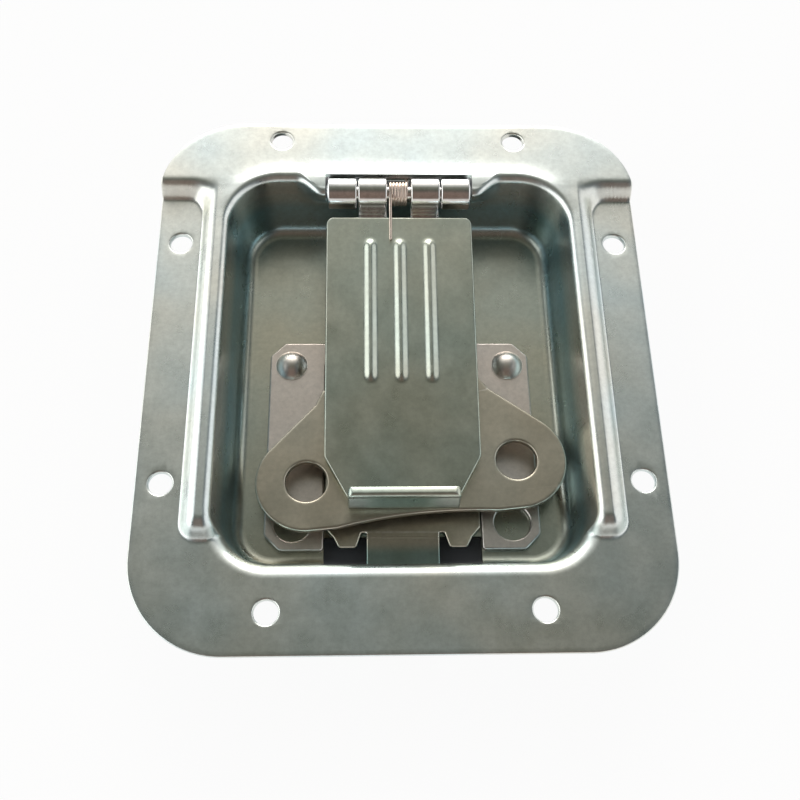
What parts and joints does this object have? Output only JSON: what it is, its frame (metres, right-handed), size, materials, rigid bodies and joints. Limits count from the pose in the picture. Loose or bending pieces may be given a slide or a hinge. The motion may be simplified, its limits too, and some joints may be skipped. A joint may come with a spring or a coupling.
{
  "type": "recessed case latch",
  "caption": "Recessed twist latch in a pressed steel dish: sprung cover flap, folding two-lobed wing that turns a crank, and a sliding hook that leaves through the lower wall.",
  "frame": {"origin": "midway between the four side holes, in the plane of the flange's back that lies on the case panel", "axes": "+X to the right across the flange, +Y up the face towards the flap hinge, +Z out of the case"},
  "size_m": [0.112, 0.126, 0.0201],
  "materials": {
    "zinc_sheet": "satin zinc plate, blue-white passivated",
    "bright_zinc": "bright zinc plate",
    "spring_steel": "drawn wire"
  },
  "bodies": {
    "frame": {"dish": "zinc_sheet", "base_plate": "zinc_sheet", "base_rivet_left": "bright_zinc", "base_rivet_right": "bright_zinc", "hinge_leaf": "bright_zinc", "hinge_pin": "bright_zinc", "flap_spring": "spring_steel", "rotor_stud": "bright_zinc", "thrust_washer": "bright_zinc", "spring_washer": "spring_steel"},
    "flap": {"flap": "zinc_sheet"},
    "rotor": {"rotor": "zinc_sheet", "crank_pin": "bright_zinc", "wing_pin": "bright_zinc"},
    "wing": {"wing": "zinc_sheet"},
    "hook": {"hook_plate": "zinc_sheet"}
  },
  "joints": [
    {"name": "flap_lift", "type": "hinge", "parent": "frame", "child": "flap", "pos_m": [0, 0.0419, 0.00345], "axis": [-1, 0, 0], "range_deg": [0, 110], "stiffness_Nm_per_rad": 0.03, "springref_deg": -20.05, "deforming": ["flap_spring"]},
    {"name": "rotor_twist", "type": "hinge", "parent": "frame", "child": "rotor", "pos_m": [0, -0.0051, -0.0083], "axis": [0, 0, -1], "range_deg": [0, 90]},
    {"name": "wing_fold", "type": "hinge", "parent": "rotor", "child": "wing", "pos_m": [0, -0.0051, -0.0056], "axis": [-0.9945, -0.1045, 0], "range_deg": [0, 90]},
    {"name": "hook_slide", "type": "slide", "parent": "frame", "child": "hook", "axis": [0, -1, 0], "range_m": [0, 0.00906]}
  ],
  "couplings": [
    {"joint": "rotor_twist", "follows": "flap_lift", "ratio": 0.81818},
    {"joint": "wing_fold", "follows": "flap_lift", "ratio": 0.81818},
    {"joint": "hook_slide", "follows": "flap_lift", "m_per_rad": 0.0047144}
  ]
}
